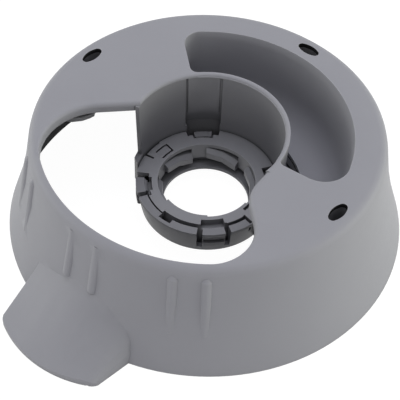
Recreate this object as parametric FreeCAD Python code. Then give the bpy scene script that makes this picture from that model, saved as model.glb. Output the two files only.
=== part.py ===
import FreeCAD, Part
import math
import os

V = FreeCAD.Vector
os.makedirs("parts", exist_ok=True)

# Overall size: standing plane at z = 0, drive axis on +Z
FOOT_R = 97.9
DECK_Z = 59.0
WALL = 2.4
FOOT_WALL = 4.0
WAIST_R = FOOT_R - 9.1
WAIST_Z = DECK_Z - 29.0
SHOULDER_R = FOOT_R - 13.7
SHOULDER_Z = DECK_Z - 4.2
SHOULDER_ROUND = 4.3
SKIRT_BANDS = 3

# Well and crescent in the deck
WELL_R = 36.3
WELL_EDGE = 1.5
CRESCENT_R = SHOULDER_R - 4.6
CRESCENT_LEFT_ROUND = 28.0
CRESCENT_RIGHT_ROUND = 21.0
CRESCENT_NECK_ROUND = 18.0
LIP_Z = DECK_Z - 5.0
LIP_WALL = 2.2
LIP_EDGE = 1.0
LIP_WIDE_EDGE = 2.4

# Pocket behind the well: azimuth of its ends at the inner and the outer radius
POCKET_R = SHOULDER_R - 15.8
POCKET_INNER_R = WELL_R + 1.9
POCKET_WALL = 2.2
POCKET_FLOOR_R = POCKET_R - 18.9
POCKET_FLOOR_Z = 19.0
POCKET_LEFT = (105.0, 103.5)
POCKET_RIGHT = (-32.2, -32.0)

# Oval slots in the deck
SLOT_AZ = (142.1, 50.4, -39.5)
SLOT_R = SHOULDER_R - 8.8
SLOT_L = 11.8
SLOT_W = 6.0

# Lift paddle and grip ribs on the skirt
PADDLE_AZ = 232.0
PADDLE_TIP_R = FOOT_R + 22.3
PADDLE_LEFT = -27.2
PADDLE_RIGHT = 32.6
RIB_R = 2.6
RIB_H = 1.5
RIB_HALF = 4.9

# Inner frame: upright sleeve, hub cup and the arms to the deck slots
SLEEVE_A0 = -41.0
SLEEVE_A1 = 159.0
SLEEVE_TOP_R = WELL_R - 0.1
SLEEVE_LOW_R = WELL_R - 1.35
SLEEVE_WALL = 2.0
SLEEVE_SEAT_Z = DECK_Z - 1.8
HUB_Z = 22.3
CHANNEL_R = SLEEVE_LOW_R + 6.0
CHANNEL_Z = HUB_Z + 14.7
HUB_R = WELL_R - 1.5
FLOOR_Z = 8.8
FLOOR_T = 1.8
CUP_IN_R = HUB_R - 4.2
FLANGE_Z = DECK_Z - 8.6
FLANGE_T = 2.4
SOCKET_WALL = 1.2
SOCKET_DEPTH = 9.4
STATION_AZ = (8.0, 95.3, 188.0, 278.0)
STATION_HALF = 11.6

# Bayonet ring
RING_WALL_R = CUP_IN_R - 2.2
RING_BORE_R = CUP_IN_R - 6.5
RING_FRONT_BORE_R = RING_BORE_R - 1.6
RING_PLATE_R = HUB_R - 0.2
PLATE_T = 2.3
RAMP_IN_R = RING_BORE_R - 2.2
RAMP_OUT_R = RING_WALL_R - 2.0
RAMP_COUNT = 6
RAMP_AZ = 92.0
RAMP_SPAN = 42.0
RAMP_DROP = 3.2
RAMP_H = 3.4
RAMP_RISE = 1.8
RAMP_LOW_Z = HUB_Z - 7.5
FLOOR_BORE_R = RAMP_IN_R - 0.6

# Clearances
SEAT_GAP = 0.35
SOCKET_GAP = 0.2
CATCH_GAP = 0.8


def polar(r, az, z=0.0):
    a = math.radians(az)
    return V(r * math.cos(a), r * math.sin(a), z)


def wire(steps, put):
    """Closed wire: a step is a point, or (middle point, end point) of an arc."""
    def last(step):
        return step[1] if isinstance(step[0], tuple) else step

    edges = []
    here = last(steps[-1])
    for step in steps:
        end = last(step)
        if put(*here).distanceToPoint(put(*end)) > 1e-6:
            if isinstance(step[0], tuple):
                edges.append(Part.Arc(put(*here), put(*step[0]), put(*end)).toShape())
            else:
                edges.append(Part.makeLine(put(*here), put(*end)))
        here = end
    return Part.Wire(edges)


def bend(start, middle, end, parts):
    """Points along an arc, for a profile whose turned surface is to stay light."""
    arc = Part.Arc(V(*start, 0), V(*middle, 0), V(*end, 0)).toShape()
    return [(p.x, p.y) for p in arc.discretize(parts + 1)]


def plate(steps, z0, z1):
    face = Part.Face(wire(steps, lambda x, y: V(x, y, z0)))
    return face.extrude(V(0, 0, z1 - z0))


def polar_plate(corners, z0, z1):
    """Flat plate from (radius, azimuth, rounding radius) corners."""
    points = [polar(r, az) for r, az, rounding in corners]
    return plate(rounded([(p.x, p.y, c[2]) for p, c in zip(points, corners)]), z0, z1)


def turned(steps, a0=0.0, a1=360.0):
    face = Part.Face(wire(steps, lambda r, z: V(r, 0, z)))
    solid = face.revolve(V(0, 0, 0), V(0, 0, 1), a1 - a0)
    solid.rotate(V(0, 0, 0), V(0, 0, 1), a0)
    return solid


def band(r0, r1, a0, a1, z0, z1):
    """Block between two radii and two azimuths."""
    return turned([(r0, z0), (r1, z0), (r1, z1), (r0, z1)], a0, a1)


def disc(r, z0, z1):
    return Part.makeCylinder(r, z1 - z0, V(0, 0, z0))


def rounded(corners):
    """Closed outline from (x, y, rounding radius) corners."""
    steps = []
    for i, (x, y, r) in enumerate(corners):
        p = V(x, y, 0)
        if r == 0:
            steps.append((x, y))
            continue
        back = corners[i - 1]
        ahead = corners[(i + 1) % len(corners)]
        a = (V(back[0], back[1], 0) - p).normalize()
        b = (V(ahead[0], ahead[1], 0) - p).normalize()
        half = a.getAngle(b) / 2
        out = (a + b).normalize()
        mid = p + out * (r / math.sin(half) - r)
        start = p + a * (r / math.tan(half))
        end = p + b * (r / math.tan(half))
        steps.append((start.x, start.y))
        steps.append(((mid.x, mid.y), (end.x, end.y)))
    return steps


def upright_edges(solid, near, reach):
    """Vertical edges close to a plan position."""
    found = []
    for e in solid.Edges:
        a, b = e.Vertexes[0].Point, e.Vertexes[-1].Point
        if abs(a.z - b.z) < 1 or a.distanceToPoint(V(b.x, b.y, a.z)) > 1e-4:
            continue
        if math.hypot(a.x - near.x, a.y - near.y) < reach:
            found.append(e)
    return found


def crossing(p, q, r):
    """Where the line from p to q leaves a circle about the drive axis."""
    run = q - p
    a, b = run.dot(run), p.dot(run)
    return p + run * ((math.sqrt(b * b - a * (p.dot(p) - r * r)) - b) / a)


def grown(solid, z, gap, z0, z1):
    """Prism over the section of a solid at one height, widened by a gap."""
    outline = solid.slice(V(0, 0, 1), z)[0]
    face = Part.Face(outline.makeOffset2D(gap))
    face.translate(V(0, 0, z0 - z))
    return face.extrude(V(0, 0, z1 - z0))


def skirt_r(z):
    """Outer radius of the skirt: one arc through foot, waist and shoulder."""
    arc = Part.Arc(V(FOOT_R, 0, 0), V(WAIST_R, 0, WAIST_Z), V(SHOULDER_R, 0, SHOULDER_Z))
    circle = arc.toShape().Curve
    return circle.Center.x - math.sqrt(circle.Radius ** 2 - (z - circle.Center.z) ** 2)


def skirt_points(inset, z0, z1, parts):
    """Profile points of the skirt surface moved inwards, from foot to shoulder."""
    rise = (z1 - z0) / parts
    return [(skirt_r(z0 + k * rise) - inset, z0 + k * rise) for k in range(parts + 1)]


def slot(az, grow, z0, z1):
    """Oval prism of four arcs, long side along the rim."""
    half, side = SLOT_L / 2 + grow, SLOT_W / 2 + grow
    end = 0.8 * half
    oval = [((SLOT_R, -half), (SLOT_R + 0.62 * side, -end)),
            ((SLOT_R + side, 0), (SLOT_R + 0.62 * side, end)), ((SLOT_R, half), (SLOT_R - 0.62 * side, end)),
            ((SLOT_R - side, 0), (SLOT_R - 0.62 * side, -end))]
    body = plate(oval, z0, z1)
    body.rotate(V(0, 0, 0), V(0, 0, 1), az)
    return body


def well_and_crescent(z0, z1):
    """Round well with the crescent that opens from its near left side."""
    corner = polar(WELL_R + 0.6, -42.6)
    neck = polar(WELL_R + 6.3, -64.6)
    toe = polar(CRESCENT_R + 25.9, -73.2)
    far = polar(CRESCENT_R + 70, -137.4)
    left = polar(CRESCENT_R + 15.6, 176.7)
    heel = polar(WELL_R - 2.8, 153.4)
    outline = [(p.x, p.y, 0) for p in (V(0, 0, 0), corner, neck, toe, far, left, heel)]
    outline[2] = (neck.x, neck.y, CRESCENT_NECK_ROUND)
    blank = plate(rounded(outline), z0, z1).common(disc(CRESCENT_R, z0, z1))
    blank = blank.makeFillet(CRESCENT_LEFT_ROUND, upright_edges(blank, crossing(heel, left, CRESCENT_R), 2))
    blank = blank.makeFillet(CRESCENT_RIGHT_ROUND, upright_edges(blank, crossing(neck, toe, CRESCENT_R), 2))
    return blank.fuse(disc(WELL_R, z0, z1)).removeSplitter()


def pocket_plan(z0, z1):
    """Curved room between two radii, its left end leaning and its corners rounded."""
    left_in, left_out = polar(POCKET_INNER_R, POCKET_LEFT[0]), polar(POCKET_R, POCKET_LEFT[1])
    right_in, right_out = polar(POCKET_INNER_R, POCKET_RIGHT[0]), polar(POCKET_R, POCKET_RIGHT[1])
    left, right = left_out - left_in, right_out - right_in
    bound = [left_out + left * 0.8, left_in - left * 0.8, right_in - right * 0.6, right_out + right,
             polar(POCKET_R * 2, 10), polar(POCKET_R * 2, 65)]
    room = disc(POCKET_R, z0, z1).cut(disc(POCKET_INNER_R, z0, z1))
    room = room.common(plate([(p.x, p.y) for p in bound], z0, z1))
    for place, r in ((left_out, 9.0), (left_in, 4.0), (right_out, 13.0), (right_in, 2.6)):
        room = room.makeFillet(r, upright_edges(room, place, 1))
    return room


def pocket_bowl():
    """Space swept by the pocket: leaning wall, wide blend and floor."""
    z, r = POCKET_FLOOR_Z, POCKET_R
    blend = bend((POCKET_FLOOR_R + 3.5, z + 0.4), (r - 6.4, z + 4.6), (r - 2.2, z + 15), 5)
    return turned([(0, z - 1)] + blend + [(r, DECK_Z + 1), (0, DECK_Z + 1)])


def pocket_skin():
    """Pocket wall and floor as a block, open to the sleeve in front."""
    t = POCKET_WALL
    z, r = POCKET_FLOOR_Z - t, POCKET_R + t
    block = turned([(0, z - 1), (POCKET_FLOOR_R + 3.5, z + 0.4), (r - 8.0, z + 3.8), (r - 2.4, z + 15),
                    (r, DECK_Z + 1), (0, DECK_Z + 1)])
    block = block.common(grown(pocket_plan(0, 70), 30, t, 0, DECK_Z - WALL / 2))
    block = block.cut(band(SLEEVE_TOP_R - 6, POCKET_FLOOR_R - t, POCKET_RIGHT[0] + 4, POCKET_LEFT[0] - 4, 0, LIP_Z))
    block = block.cut(disc(CHANNEL_R + SEAT_GAP, 0, CHANNEL_Z + SEAT_GAP))
    return block.cut(disc(SLEEVE_TOP_R + SLEEVE_WALL + SEAT_GAP, 0, SLEEVE_SEAT_Z))


def floor_edge():
    """Turned-down front edge of the pocket floor."""
    r, z = POCKET_FLOOR_R, POCKET_FLOOR_Z
    t = POCKET_WALL
    return turned([(r - t, z - 7.5), (r, z - 7.5), (r + 1.0, z - t), (r + 3.0, z - t / 2), (r + 1.4, z - 0.5),
                   (r - t, z - 3)])


def rib(az, z_proud, z_flush):
    """Grip rib: a round bar leaning into the skirt, proud at one end, sunk at the other."""
    proud = V(skirt_r(z_proud) + RIB_H - RIB_R, 0, z_proud)
    sunk = V(skirt_r(z_flush) - 0.9 * RIB_R, 0, z_flush)
    run = sunk - proud
    cap = run * (-0.7 * RIB_R / run.Length)
    body = Part.makeCylinder(RIB_R, run.Length, proud, run)
    body = body.fuse(Part.makeCone(RIB_R, 0.5 * RIB_R, cap.Length, proud, cap))
    body.rotate(V(0, 0, 0), V(0, 0, 1), az)
    return body


def paddle_height(u):
    """Crown of the paddle: an even slope from the tip, flared a little into the skirt."""
    height = 1.5 + 0.845 * (PADDLE_TIP_R - u) + 3 * math.exp((PADDLE_TIP_R - 34.2 - u) / 1.8)
    return min(height, SHOULDER_Z - 7)


def paddle_form(inset, ends):
    """Crowned wedge through arched sections: upright left side, falling right flank."""
    sections = []
    for back in ends:
        u = PADDLE_TIP_R - back
        h, drop = max(0.8, paddle_height(u)), 1.3 * inset
        left, right = PADDLE_LEFT + inset, PADDLE_RIGHT - inset - 0.14 * max(0, 28 - back)
        side = 0.64 - 0.007 * max(0, 30 - back)
        arch = [(left + 0.4, side), (left + 8.6, side + 0.15), (left + 19, 0.93), (1.2, 1.0), (10, 0.99),
                (0.53 * right, 0.87), (0.7 * right, 0.725), (0.835 * right, 0.59), (0.935 * right, 0.43),
                (0.985 * right, 0.22)]
        points = [V(u, v, max(0.3, part * h - drop)) for v, part in arch]
        points = [V(u, left, -0.5)] + points + [V(u, right, -0.5)]
        sections.append(Part.makePolygon(points + points[:1]))
    return Part.makeLoft(sections, True, True)


def core(inset):
    """Space inside the skirt surface."""
    return turned([(0, -2), (FOOT_R - inset, -2)] + skirt_points(inset, 0, SHOULDER_Z, SKIRT_BANDS) + [(0, SHOULDER_Z)])


def paddle():
    """Hollow lift paddle, open below, its tip rounded in plan."""
    tip = PADDLE_TIP_R
    root = tip - 50
    left, right = PADDLE_LEFT, PADDLE_RIGHT
    blank = plate([(root, left), (tip - 6.4, left), ((tip, -1.5), (tip - 9.6, right - 2.2)), (tip - 28, right),
                   (root, right)], 0, SHOULDER_Z)
    blank = blank.makeFillet(5.0, upright_edges(blank, V(tip - 6.4, left, 0), 4))
    blank = blank.makeFillet(7.0, upright_edges(blank, V(tip - 9.6, right - 2.2, 0), 4))
    hollow = paddle_form(WALL, (40.2, 34.2, 31.6, 28.5, 7.0)).cut(core(0))
    shell = paddle_form(0.0, (40.2, 34.2, 31.6, 28.5, 7.0, -1.8)).common(blank)
    shell = shell.cut(hollow).cut(core(1.0))
    shell.rotate(V(0, 0, 0), V(0, 0, 1), PADDLE_AZ)
    return shell


def crescent_side(edge):
    """Deck edge of the crescent: off the well circle, inside the shoulder."""
    radii = [math.hypot(v.X, v.Y) for v in edge.Vertexes]
    middle = edge.valueAt((edge.FirstParameter + edge.LastParameter) / 2)
    radii.append(math.hypot(middle.x, middle.y))
    return max(radii) < CRESCENT_R + 0.1 and max(radii) > WELL_R + 1


def rounded_lip(body):
    """Crescent deck edge rounded: tight on the narrow outer rim, wide elsewhere."""
    doc = FreeCAD.newDocument("lip")
    base = doc.addObject("Part::Feature", "base")
    base.Shape = body
    radii = []
    for number, edge in enumerate(body.Edges, 1):
        flat = abs(edge.BoundBox.ZMin - DECK_Z) < 0.01 and abs(edge.BoundBox.ZMax - DECK_Z) < 0.01
        if not flat or edge.isClosed() or not crescent_side(edge):
            continue
        ends = [edge.valueAt(edge.FirstParameter), edge.valueAt(edge.LastParameter)]
        sizes = [LIP_EDGE if math.hypot(q.x, q.y) > CRESCENT_R - 0.5 else LIP_WIDE_EDGE for q in ends]
        radii.append((number, sizes[0], sizes[1]))
    fillet = doc.addObject("Part::Fillet", "fillet")
    fillet.Base = base
    fillet.Edges = radii
    doc.recompute()
    made = fillet.Shape.copy()
    FreeCAD.closeDocument("lip")
    return made


def well_rounding():
    """Ring that rounds the deck edge over into the well."""
    r, z = WELL_R, DECK_Z
    k = WELL_EDGE
    roll = bend((r, z - k), (r + 0.293 * k, z - 0.293 * k), (r + k, z), 3)
    return turned([(r - 1, z - k)] + roll + [(r + k, z + 1), (r - 1, z + 1)])


def shell_with_deck():
    """Flared skirt, round shoulder and flat deck, before any opening."""
    shoulder = bend((SHOULDER_R, SHOULDER_Z),
                    (SHOULDER_R - 0.28 * SHOULDER_ROUND, DECK_Z - 0.3 * SHOULDER_ROUND),
                    (SHOULDER_R - SHOULDER_ROUND, DECK_Z), 3)
    profile = [(FOOT_R - FOOT_WALL, 0)] + skirt_points(0, 0, SHOULDER_Z, SKIRT_BANDS) + shoulder[1:]
    profile += [(0, DECK_Z), (0, DECK_Z - WALL), (SHOULDER_R - WALL - 1.6, DECK_Z - WALL)]
    profile += skirt_points(WALL, SHOULDER_Z, 0, 2)[:-1]
    return turned(profile)


def housing():
    body = shell_with_deck()
    opening = well_and_crescent(LIP_Z - 8, DECK_Z + 4)
    lip = grown(opening, DECK_Z, LIP_WALL, LIP_Z, DECK_Z - WALL / 2)
    body = body.fuse(lip).cut(opening).removeSplitter()
    body = rounded_lip(body).cut(well_rounding())
    room = pocket_plan(0, DECK_Z + 11)
    body = body.fuse(pocket_skin()).cut(room.common(pocket_bowl()))
    turn = math.degrees(SEAT_GAP / SLEEVE_TOP_R)
    body = body.cut(band(WELL_R - 4, SLEEVE_TOP_R + SLEEVE_WALL + SEAT_GAP, SLEEVE_A0 - turn, SLEEVE_A1 + turn,
                         LIP_Z - 6, SLEEVE_SEAT_Z))
    body = body.fuse(floor_edge().common(room))
    for az in SLOT_AZ:
        body = body.cut(slot(az, 0, DECK_Z - 8, DECK_Z + 1))
    body = body.fuse(paddle())
    inside = core(1.2)
    high, low = SHOULDER_Z - 2.5, WAIST_Z - 10
    for side in (-RIB_HALF, RIB_HALF):
        for az, proud, flush in ((-35, high - 1.8, low - 1), (0, WAIST_Z - 1.5, high + 2), (34.5, high, low + 1)):
            body = body.fuse(rib(PADDLE_AZ + az + side, proud, flush).cut(inside))
    return body.removeSplitter()


def socket(az, low):
    """Eight-sided socket behind a deck slot, its rim against the deck."""
    grow = SOCKET_GAP + SOCKET_WALL
    half, side = SLOT_L / 2 + grow, SLOT_W / 2 + grow
    outline = [(SLOT_R + x * side, y * half) for x, y in
               ((-1, -0.4), (-0.4, -1), (0.4, -1), (1, -0.4), (1, 0.4), (0.4, 1), (-0.4, 1), (-1, 0.4))]
    body = plate(outline, low, DECK_Z - WALL)
    body.rotate(V(0, 0, 0), V(0, 0, 1), az)
    return body.cut(socket_room(az))


def socket_room(az):
    """Space of a socket, kept clear of the arm that carries it."""
    return slot(az, SOCKET_GAP, DECK_Z - WALL - SOCKET_DEPTH, DECK_Z)


def hook(az):
    """Nose of a snap tongue, reaching over the catch of the ring."""
    r = CUP_IN_R
    z = HUB_Z
    return turned([(r - 1.6, z - 3.3), (r + 0.8, z - 3.3), (r + 0.8, z - 0.8), (r - 0.5, z - 0.8),
                   (r - 1.6, z - 1.9)], az - 7.0, az + 7.0)


def snap_station(body, az):
    """Snap tongue in the cup wall: two side slots, a hook nose and a stepped outer face."""
    low = FLOOR_Z + 2.2
    for side in (-1, 1):
        mid = az + side * STATION_HALF
        body = body.cut(band(CUP_IN_R - 2, HUB_R + 4, mid - 2.3, mid + 2.3, low, HUB_Z + 6))
    body = body.cut(band(HUB_R - 1.0, HUB_R + 1.2, az - 9, az + 9, HUB_Z - 4.6, HUB_Z - 1.8))
    return body.fuse(hook(az))


def cup():
    """Hub cup with its bored floor, and the taller back half that joins the sleeve."""
    low, ledge_z = FLOOR_Z - FLOOR_T, HUB_Z - PLATE_T
    body = turned([(FLOOR_BORE_R, low), (CUP_IN_R + 0.4, low), (HUB_R - 2.4, FLOOR_Z - 0.6), (HUB_R - 1.4, HUB_Z - 8),
                   (HUB_R - 0.8, HUB_Z - 2.4), (HUB_R, HUB_Z - 1.8), (HUB_R, HUB_Z), (CUP_IN_R, HUB_Z),
                   (CUP_IN_R, FLOOR_Z), (FLOOR_BORE_R, FLOOR_Z)])
    outer = SLEEVE_LOW_R + 1.35
    back = turned([(CUP_IN_R - 0.6, low), (outer, low), (outer, ledge_z), (CUP_IN_R + 1.4, ledge_z),
                   (CUP_IN_R + 1.4, FLOOR_Z), (CUP_IN_R - 0.6, FLOOR_Z)], SLEEVE_A0, SLEEVE_A1)
    return body.fuse(back)


def sleeve():
    """Leaning wall behind the drive axis, with a lug at its left end."""
    low_out = SLEEVE_LOW_R + 1.7
    wall = turned([(SLEEVE_LOW_R, FLOOR_Z), (low_out, FLOOR_Z), (SLEEVE_TOP_R + SLEEVE_WALL, SLEEVE_SEAT_Z),
                   (SLEEVE_TOP_R, SLEEVE_SEAT_Z), (SLEEVE_LOW_R, HUB_Z)], SLEEVE_A0, SLEEVE_A1)
    lug = polar_plate([(SLEEVE_LOW_R, 157, 0), (SLEEVE_LOW_R, 169.5, 0), (low_out + 1.05, 164, 0),
                       (low_out + 1.25, 157, 0)], FLOOR_Z + 1, HUB_Z + 2.7)
    return wall.fuse(lug)


def window_channel(body):
    """Window above the back tongue, with a shallow strip running up to the rim."""
    low, sill, brow = FLOOR_Z - FLOOR_T, FLOOR_Z + 3, HUB_Z + 3.7
    inner = SLEEVE_LOW_R - 2
    body = body.fuse(band(SLEEVE_LOW_R + 1, CHANNEL_R, 78.8, 112, low, CHANNEL_Z))
    body = body.cut(band(inner, CHANNEL_R - 1.6, 81.2, 108.8, sill, brow))
    body = body.cut(turned([(inner, brow - 0.1), (SLEEVE_LOW_R + 3.8, brow - 0.1), (SLEEVE_LOW_R + 0.9, brow + 9),
                            (SLEEVE_TOP_R + 0.4, SLEEVE_SEAT_Z + 1), (inner, SLEEVE_SEAT_Z + 1)], 80.7, 110.0))
    for az in (80.9, 107.8):
        body = body.cut(turned([(inner, brow), (SLEEVE_LOW_R + 1.3, brow), (SLEEVE_TOP_R + 0.9, SLEEVE_SEAT_Z + 1),
                                (inner, SLEEVE_SEAT_Z + 1)], az, az + 2))
    return body


def left_arm():
    low = FLANGE_Z - FLANGE_T
    r = SLOT_R
    tab = polar_plate([(r + 0.6, 128, 0), (r + 2.6, 140, 0), (r + 2.6, 155, 0), (r + 1.1, 171.5, 0),
                       (r - 8.6, 171.2, 0), (r - 13.3, 169.5, 0), (r - 16.3, 167.0, 0), (r - 17.8, 164.9, 0),
                       (r - 17.5, 163.3, 0), (r - 18, 150, 0), (r - 18, 139, 0), (r - 18, 128, 0)], low, FLANGE_Z)
    web = band(SLEEVE_TOP_R + 1.2, r - 16.4, 128, 141, low, FLANGE_Z)
    return tab.fuse(web).fuse(socket(SLOT_AZ[0], low - 1.8)).cut(socket_room(SLOT_AZ[0]))


def right_arm():
    low = FLANGE_Z - FLANGE_T
    w, r = WELL_R, SLOT_R
    arm = polar_plate([(w + 0.3, -39.3, 0), (w + 8.6, -40.9, 4), (r - 10.7, -36.5, 8), (r + 1.0, -35.1, 4),
                       (r + 2.4, -43.4, 4), (r - 8.2, -45.6, 8), (w + 5.5, -47.9, 3), (w + 0.2, -45.4, 0)],
                      low, FLANGE_Z)
    return arm.fuse(socket(SLOT_AZ[2], low - 1.8)).cut(socket_room(SLOT_AZ[2]))


def back_arm():
    low = FLOOR_Z - FLOOR_T
    shelf = band(SLEEVE_LOW_R + 1, POCKET_FLOOR_R + 6, SLEEVE_A0 + 6, 112, low, FLOOR_Z)
    arm = band(SLEEVE_LOW_R + 1, SLOT_R + SLOT_W / 2 + 1.2, SLOT_AZ[1] - 4.6, SLOT_AZ[1] + 4.6, low, FLOOR_Z + 1.8)
    return shelf.fuse(arm).fuse(socket(SLOT_AZ[1], low))


def inner_frame():
    ledge_z = HUB_Z - PLATE_T
    inner = CUP_IN_R - 2
    body = cup().fuse(sleeve())
    body = body.cut(band(inner, HUB_R + 0.16, -49, 180.5, ledge_z, HUB_Z + 0.01))
    body = body.cut(band(inner, HUB_R - 1.8, 228, 240, HUB_Z - 8, HUB_Z + 1))
    body = body.cut(band(inner, HUB_R - 0.6, 309, 311.2, HUB_Z - 6, HUB_Z + 1))
    for az in STATION_AZ[2:]:
        body = snap_station(body, az)
    body = window_channel(body.fuse(back_arm()))
    for side in (-12, 12):
        mid = STATION_AZ[1] + side
        body = body.cut(band(CUP_IN_R - 1, SLEEVE_LOW_R - 0.4, mid - 2.6, mid + 2.6, FLOOR_Z + 2.2, HUB_Z + 1))
    for az in STATION_AZ[:2]:
        tongue = band(CUP_IN_R - 0.4, CUP_IN_R + 3, az - 7.8, az + 7.8, ledge_z - 4, HUB_Z - 0.4)
        body = body.fuse(tongue).fuse(hook(az))
    return body.fuse(left_arm()).fuse(right_arm()).removeSplitter()


def ramp(az):
    """Helical bayonet lug, falling clockwise."""
    sections = []
    for k in range(3):
        a = az - RAMP_SPAN * k / 2
        z = RAMP_LOW_Z - RAMP_DROP * k / 2
        pts = [polar(r, a, h) for r, h in ((RAMP_IN_R, z), (RAMP_OUT_R + 0.6, z),
                                           (RAMP_OUT_R + 0.6, z + RAMP_H + RAMP_RISE),
                                           (RING_BORE_R, z + RAMP_H + RAMP_RISE), (RAMP_IN_R, z + RAMP_H))]
        sections.append(Part.makePolygon(pts + pts[:1]))
    return Part.makeLoft(sections, True, True)


def bayonet_ring():
    under, over = HUB_Z - PLATE_T, HUB_Z + 1
    wall_z = RAMP_LOW_Z - 2.0
    bore, wall = RING_BORE_R, RING_WALL_R
    catch = CUP_IN_R - CATCH_GAP
    ring = turned([(bore, wall_z), (RAMP_OUT_R, wall_z), (RAMP_OUT_R, FLOOR_Z), (wall, FLOOR_Z), (wall, HUB_Z),
                   (bore, HUB_Z)])
    for az in STATION_AZ:
        ring = ring.fuse(band(wall - 1, catch, az - 8, az + 8, HUB_Z - 6.2, HUB_Z - 3.6))
    for k in range(RAMP_COUNT):
        az = RAMP_AZ + k * 360.0 / RAMP_COUNT
        ring = ring.cut(band(bore - 2, RAMP_OUT_R, az - RAMP_SPAN, az, wall_z - 1, under))
        ring = ring.fuse(ramp(az))
    ring = ring.fuse(band(bore, RING_PLATE_R, -48, 174.5, under, HUB_Z))
    ring = ring.fuse(band(wall - 1, catch, 203, 227, HUB_Z - 3.4, HUB_Z))
    ring = ring.fuse(band(wall - 1, wall + 0.4, 292, 309.5, HUB_Z - 3.4, HUB_Z))
    ring = ring.fuse(band(RING_FRONT_BORE_R, bore + 1, 217, 273, under, HUB_Z))
    ring = ring.fuse(band(RING_FRONT_BORE_R + 0.8, bore + 1, 272, 325, under, HUB_Z))
    ring = ring.cut(band(wall + 2.8, RING_PLATE_R + 1, STATION_AZ[1] - 14.6, STATION_AZ[1] + 14.6, under, over))
    notches = zip(STATION_AZ, (wall + 0.2, wall + 0.4, wall - 1.4, wall - 3.0), (11.6, 9.8, 8.8, 11.8))
    for az, r, half in notches:
        ring = ring.cut(band(r, RING_PLATE_R + 1, az - half, az + half, HUB_Z - 3.6, over))
    for r0, r1, a0, a1 in ((CUP_IN_R - 0.1, CUP_IN_R + 0.9, 133, 147), (bore + 1.4, bore + 2.4, 133, 149),
                           (bore + 1.4, CUP_IN_R + 0.9, 132, 134), (wall + 1.3, RING_PLATE_R + 1, 153, 155.2),
                           (RING_PLATE_R - 0.6, RING_PLATE_R + 1, 136, 155), (bore + 0.9, bore + 2.5, 316, 330)):
        ring = ring.cut(band(r0, r1, a0, a1, under, over))
    return ring.removeSplitter()


for name, make in (("housing", housing), ("inner_frame", inner_frame), ("bayonet_ring", bayonet_ring)):
    make().exportStep("parts/" + name + ".step")
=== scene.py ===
import bpy
import bmesh
from math import radians, cos, sin
from mathutils import Matrix, Vector
from mathutils.bvhtree import BVHTree


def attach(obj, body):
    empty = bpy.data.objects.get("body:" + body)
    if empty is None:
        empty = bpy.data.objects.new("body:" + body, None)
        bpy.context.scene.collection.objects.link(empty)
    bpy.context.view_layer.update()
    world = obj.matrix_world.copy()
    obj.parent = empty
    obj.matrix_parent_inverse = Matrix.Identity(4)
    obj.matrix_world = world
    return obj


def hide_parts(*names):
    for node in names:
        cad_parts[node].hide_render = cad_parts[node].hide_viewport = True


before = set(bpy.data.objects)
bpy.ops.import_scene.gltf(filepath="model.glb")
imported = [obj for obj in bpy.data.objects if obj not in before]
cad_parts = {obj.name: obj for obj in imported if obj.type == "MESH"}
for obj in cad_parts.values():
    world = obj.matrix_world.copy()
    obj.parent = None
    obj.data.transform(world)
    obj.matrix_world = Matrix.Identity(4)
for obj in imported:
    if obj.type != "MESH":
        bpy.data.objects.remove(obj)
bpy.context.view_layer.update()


# Colours and nodes

def srgb(code):
    """Linear RGBA of an sRGB hex value."""
    channels = [int(code[i:i + 2], 16) / 255 for i in (1, 3, 5)]
    return [c / 12.92 if c <= 0.04045 else ((c + 0.055) / 1.055) ** 2.4 for c in channels] + [1.0]


def add_node(tree, kind, values=None, links=None, **settings):
    """Adds a node, sets its properties and sockets, and links its inputs."""
    made = tree.nodes.new(kind)
    for name, value in settings.items():
        setattr(made, name, value)
    for name, value in (values or {}).items():
        made.inputs[name].default_value = value
    for name, source in (links or {}).items():
        tree.links.new(source, made.inputs[name])
    return made


def empty_material(name):
    material = bpy.data.materials.new(name)
    material.use_nodes = True
    material.node_tree.nodes.clear()
    return material


# Camera: a long lens close in, tilted a little to the left as the picture was taken

FRAME_PX = 400
FOCAL_PX = 1126.0
SHIFT_PX = (-7.3, -35.1)
SENSOR_MM = 36.0
DOWN = radians(47.53)
ROLL = radians(2.68)
AIM = Vector((0, 0, 0.0333))
AWAY = 0.5449

ahead = Vector((0, cos(DOWN), -sin(DOWN)))
up = Vector((0, sin(DOWN), cos(DOWN)))
right = Vector((1, 0, 0))
camera_right = right * cos(ROLL) + up * sin(ROLL)
camera_up = up * cos(ROLL) - right * sin(ROLL)

camera_data = bpy.data.cameras.new("camera")
camera_data.sensor_width = SENSOR_MM
camera_data.lens = SENSOR_MM * FOCAL_PX / FRAME_PX
camera_data.shift_x = SHIFT_PX[0] / FRAME_PX
camera_data.shift_y = SHIFT_PX[1] / FRAME_PX
camera_data.clip_start = 0.01
camera = bpy.data.objects.new("camera", camera_data)
camera.matrix_world = (Matrix.Translation(AIM - ahead * AWAY)
                       @ Matrix((camera_right, camera_up, -ahead)).transposed().to_4x4())
bpy.context.scene.collection.objects.link(camera)
bpy.context.scene.camera = camera


# Materials

FLOW_MM = 45        # how wide the melt's slow wander of tone is
MOTTLE_MM = 4       # how wide the small cloudy spots in it are
PAINTED_SHADE_MM = 3       # how far out of grooves and inner corners the painted shade reaches


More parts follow.
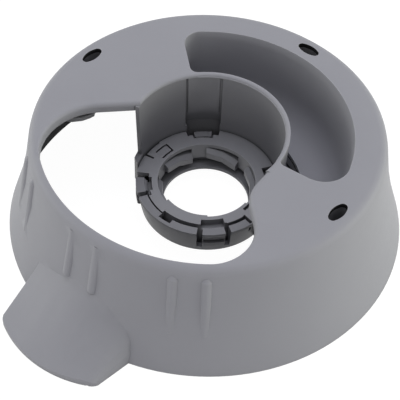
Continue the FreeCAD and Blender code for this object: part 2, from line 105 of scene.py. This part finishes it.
def moulded_plastic(name, colour, shade, pale, grain_mm, grain_height_mm, roughness, corner_mm,
                    shine, sheen):
    """Plastic moulded in a spark-finished tool: an even colour that wanders a little with
    the flow of the melt, a fine dull grain that breaks up the gloss, corners that are
    slightly round with a painted highlight along convex edges, and painted shade where two walls
    meet in grooves.

    The real grain is about 0.1 mm. It is drawn several times as coarse, or it would not show.
    """
    material = empty_material(name)
    tree = material.node_tree
    place = add_node(tree, "ShaderNodeTexCoord").outputs["Object"]

    flow = add_node(tree, "ShaderNodeTexNoise",
                    {"Scale": 1000 / FLOW_MM, "Detail": 3.0, "Roughness": 0.5}, {"Vector": place})
    mottle = add_node(tree, "ShaderNodeTexNoise",
                      {"Scale": 1000 / MOTTLE_MM, "Detail": 2.0, "Roughness": 0.6},
                      {"Vector": place})
    both = add_node(tree, "ShaderNodeMix", {"Factor": 0.3},
                    {"A": flow.outputs["Fac"], "B": mottle.outputs["Fac"]})
    tone = add_node(tree, "ShaderNodeValToRGB", links={"Fac": both.outputs[0]})
    for stop, position, code in zip(tone.color_ramp.elements, (0.3, 0.7), (shade, colour)):
        stop.position = position
        stop.color = srgb(code)

    # Painted highlight: convex edges, found by AO cast inwards, are mixed towards the pale colour
    corner = add_node(tree, "ShaderNodeAmbientOcclusion", {"Distance": 1.5 * corner_mm / 1000},
                      samples=8, inside=True, only_local=True)
    painted_edge_highlight = add_node(tree, "ShaderNodeMapRange", {"From Min": 0.95, "From Max": 0.45},
                      {"Value": corner.outputs["AO"]})
    tone = add_node(tree, "ShaderNodeMix", {"B": srgb(pale)},
                    {"Factor": painted_edge_highlight.outputs["Result"], "A": tone.outputs["Color"]},
                    data_type="RGBA")
    # Painted shade: AO darkens the colour in grooves, creases and inner corners
    painted_shade_ao = add_node(tree, "ShaderNodeAmbientOcclusion", {"Distance": PAINTED_SHADE_MM / 1000},
                      samples=8)
    painted_shade = add_node(tree, "ShaderNodeMapRange",
                     {"From Min": 0.1, "From Max": 0.92, "To Min": 0.35, "To Max": 1.0},
                     {"Value": painted_shade_ao.outputs["AO"]})
    tone = add_node(tree, "ShaderNodeMix", {"Factor": 1.0},
                    {"A": tone.outputs[2], "B": painted_shade.outputs["Result"]},
                    data_type="RGBA", blend_type="MULTIPLY")

    grain = add_node(tree, "ShaderNodeTexNoise",
                     {"Scale": 1000 / grain_mm, "Detail": 2.0, "Roughness": 0.6},
                     {"Vector": place})
    gloss = add_node(tree, "ShaderNodeMapRange",
                     {"From Min": 0.3, "From Max": 0.7,
                      "To Min": roughness - 0.04, "To Max": roughness + 0.05},
                     {"Value": mottle.outputs["Fac"]})
    round_corner = add_node(tree, "ShaderNodeBevel", {"Radius": corner_mm / 1000}, samples=6)
    bump = add_node(tree, "ShaderNodeBump",
                    {"Strength": 0.35, "Distance": grain_height_mm / 1000},
                    {"Height": grain.outputs["Fac"], "Normal": round_corner.outputs["Normal"]})
    shader = add_node(tree, "ShaderNodeBsdfPrincipled",
                      {"IOR": 1.52, "Metallic": 0.0, "Specular IOR Level": shine,
                       "Sheen Weight": sheen, "Sheen Roughness": 0.35},
                      {"Base Color": tone.outputs[2], "Roughness": gloss.outputs["Result"],
                       "Normal": bump.outputs["Normal"]})
    add_node(tree, "ShaderNodeOutputMaterial", links={"Surface": shader.outputs["BSDF"]})
    return material


FINISHES = {
    # ABS, dull from the tool: cool mid grey with a pale bloom where it turns from the eye
    "housing": moulded_plastic(
        "moulded_abs_mid_grey", colour="#94949b", shade="#909097", pale="#a0a0a6",
        grain_mm=0.9, grain_height_mm=0.05, roughness=0.6, corner_mm=0.4,
        shine=0.3, sheen=0.15),
    # ABS again, darker and from a finer tool: a smoother face with small soft highlights
    "inner_frame": moulded_plastic(
        "moulded_abs_dark_grey", colour="#848489", shade="#7f7f84", pale="#8e8e93",
        grain_mm=0.8, grain_height_mm=0.04, roughness=0.4, corner_mm=0.35,
        shine=0.3, sheen=0.0),
    # Acetal, hard and slippery: a waxy gloss on the lugs that the bowl turns against
    "bayonet_ring": moulded_plastic(
        "moulded_acetal_grey", colour="#8e8e93", shade="#89898e", pale="#9f9fa4",
        grain_mm=0.7, grain_height_mm=0.03, roughness=0.38, corner_mm=0.35,
        shine=0.4, sheen=0.0),
}
# Painted shade: a near-black finish on the faces inside the skirt, under the deck and in the
# deck slots, where the housing lies in shadow; almost no shine, so that it stays black against
# the white paper
PAINTED_SHADE_INSIDE = moulded_plastic(
    "painted_shade_black", colour="#232325", shade="#1e1e20", pale="#2e2e30",
    grain_mm=0.9, grain_height_mm=0.05, roughness=0.8, corner_mm=0.4,
    shine=0.1, sheen=0.0)


# Mouldings

WELD = 2e-6                          # corners of loose triangles this close are one corner
SHARP = radians(32)                  # an edge that bends more than this stays crisp

OFF_THE_WALL = 0.0008                # a look upwards starts this far in front of a face
SLOT_REACH = 0.0075                  # no part of a slot's wall is further from its centre
SLOTS = [Vector((0.0754 * cos(radians(az)), 0.0754 * sin(radians(az)), 0.057))
         for az in (142.1, 50.4, -39.5)]

LEDGE_TONGUES = (278.0, 188.0)       # degrees, the snap tongues that show a ledge
LEDGE_DEGREES = 17.6
LEDGE_STEPS = 8
LEDGE_PROFILE_MM = [(32.9, 13.4), (34.0, 13.4), (34.8, 14.2), (34.8, 16.5), (32.9, 16.5)]


def inside_faces(shell):
    """Faces that look into the space under the deck, or into a deck slot."""
    tree = BVHTree.FromBMesh(shell)
    found = []
    for face in shell.faces:
        centre = face.calc_center_median()
        away = Vector((centre.x, centre.y, 0)).normalized()
        inward = face.normal.dot(away) < 0.2 or face.normal.z < -0.5
        above = tree.ray_cast(centre + face.normal * OFF_THE_WALL, Vector((0, 0, 1)))[0]
        in_slot = abs(face.normal.z) < 0.3 and any(
            (slot - centre).length < SLOT_REACH and face.normal.dot(slot - centre) > 0
            for slot in SLOTS)
        if inward and above is not None or in_slot:
            found.append(face)
    return found


def tongue_ledge(shell, azimuth):
    """Ledge under the recess on the outer face of the snap tongue at an azimuth."""
    start = radians(azimuth - LEDGE_DEGREES / 2)
    corners = [shell.verts.new((r / 1000 * cos(start), r / 1000 * sin(start), z / 1000))
               for r, z in LEDGE_PROFILE_MM]
    end = shell.faces.new(corners)
    before = set(shell.faces)
    bmesh.ops.spin(shell, geom=corners + list(end.edges) + [end], cent=(0, 0, 0),
                   axis=(0, 0, 1), angle=radians(LEDGE_DEGREES), steps=LEDGE_STEPS,
                   use_duplicate=False)
    made = [face for face in shell.faces if face not in before or face is end]
    bmesh.ops.recalc_face_normals(shell, faces=made)


def seamless_copy(node):
    """Moulding with its loose triangles joined, shaded smoothly up to its real corners."""
    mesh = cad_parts[node].data.copy()
    mesh.name = node + "_shell"
    mesh.materials.clear()
    shell = bmesh.new()
    shell.from_mesh(mesh)
    bmesh.ops.remove_doubles(shell, verts=shell.verts, dist=WELD)
    if node == "inner_frame":
        for azimuth in LEDGE_TONGUES:
            tongue_ledge(shell, azimuth)
    for face in shell.faces:
        face.smooth = True
    for edge in shell.edges:
        edge.smooth = len(edge.link_faces) == 2 and edge.calc_face_angle(0) < SHARP
    if node == "housing":
        # Faces inside the skirt and in the deck slots, which lie in shade, get the black
        # painted-shade finish
        for face in inside_faces(shell):
            face.material_index = 1
    shell.to_mesh(mesh)
    shell.free()
    mesh.materials.append(FINISHES[node])
    if node == "housing":
        mesh.materials.append(PAINTED_SHADE_INSIDE)
    piece = bpy.data.objects.new(node + "_shell", mesh)
    bpy.context.scene.collection.objects.link(piece)
    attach(piece, "root")
    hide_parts(node)
    return piece


for node in FINISHES:
    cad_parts[node].data.materials.clear()
    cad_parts[node].data.materials.append(FINISHES[node])
    seamless_copy(node)


# Floor, light and world

FLOOR_HALF_WIDTH = 3.0
FLOOR_DROP = 0.0005                  # keeps the foot of the housing clear of the paper
PAPER_GLOW = 0.975                   # how white the paper is to the camera, before the light
WORLD_LIGHT = 0.49                   # soft light from all round
MIDDLE = (0, 0, 0.03)                # what the lower lights point at


def studio_floor():
    """Matt white sweep: white to the camera, with a faint shadow under the object."""
    material = empty_material("matt_white_paper")
    tree = material.node_tree
    rays = add_node(tree, "ShaderNodeLightPath")
    seen = add_node(tree, "ShaderNodeMath",
                    links={0: rays.outputs["Is Camera Ray"], 1: rays.outputs["Is Glossy Ray"]},
                    operation="MAXIMUM")
    seen = add_node(tree, "ShaderNodeMath",
                    links={0: seen.outputs[0], 1: rays.outputs["Is Transmission Ray"]},
                    operation="MAXIMUM")
    paper = add_node(tree, "ShaderNodeBsdfDiffuse", {"Color": srgb("#bebebe")})
    thin = add_node(tree, "ShaderNodeBsdfDiffuse", {"Color": srgb("#5c5c5c")})
    glow = add_node(tree, "ShaderNodeEmission", {"Strength": PAPER_GLOW})
    lit = add_node(tree, "ShaderNodeAddShader", links={0: thin.outputs[0], 1: glow.outputs[0]})
    mixed = add_node(tree, "ShaderNodeMixShader",
                     links={0: seen.outputs[0], 1: paper.outputs[0], 2: lit.outputs[0]})
    add_node(tree, "ShaderNodeOutputMaterial", links={"Surface": mixed.outputs[0]})
    sheet = bmesh.new()
    bmesh.ops.create_grid(sheet, x_segments=1, y_segments=1, size=FLOOR_HALF_WIDTH)
    mesh = bpy.data.meshes.new("floor")
    sheet.to_mesh(mesh)
    sheet.free()
    mesh.materials.append(material)
    floor = bpy.data.objects.new("floor", mesh)
    floor.location.z = -FLOOR_DROP
    bpy.context.scene.collection.objects.link(floor)


def softbox(name, place, aim, width, height, tint, watts):
    light = bpy.data.lights.new(name, "AREA")
    light.shape = "RECTANGLE"
    light.color = srgb(tint)[:3]
    light.size = width
    light.size_y = height
    light.energy = watts
    lamp = bpy.data.objects.new(name, light)
    lamp.location = place
    lamp.rotation_euler = (Vector(aim) - Vector(place)).to_track_quat("-Z", "Y").to_euler()
    bpy.context.scene.collection.objects.link(lamp)


studio_floor()
softbox("top_light", (0.0, 0.25, 1.1), (0, 0, 0), 0.9, 0.9, "#f3f5ff", 4.4)
softbox("front_light", (-0.45, -1.0, 0.14), MIDDLE, 0.5, 0.22, "#fffffb", 2.05)
softbox("left_light", (-1.0, 0.35, 0.24), MIDDLE, 1.0, 0.45, "#fdfff3", 4.6)
softbox("right_light", (1.0, 0.0, 0.22), MIDDLE, 1.0, 0.42, "#fdfff1", 7.0)
softbox("back_light", (-0.2, 0.8, 0.86), MIDDLE, 0.8, 0.5, "#ffffff", 0.95)

world = bpy.data.worlds.new("studio")
bpy.context.scene.world = world
world.use_nodes = True
world.node_tree.nodes.clear()
rays = add_node(world.node_tree, "ShaderNodeLightPath")
strength = add_node(world.node_tree, "ShaderNodeMapRange",
                    {"To Min": WORLD_LIGHT, "To Max": 1.0},
                    {"Value": rays.outputs["Is Camera Ray"]})
sky = add_node(world.node_tree, "ShaderNodeBackground", {"Color": srgb("#ffffff")},
               {"Strength": strength.outputs["Result"]})
add_node(world.node_tree, "ShaderNodeOutputWorld", links={"Surface": sky.outputs[0]})

bpy.context.scene.view_settings.view_transform = "Standard"
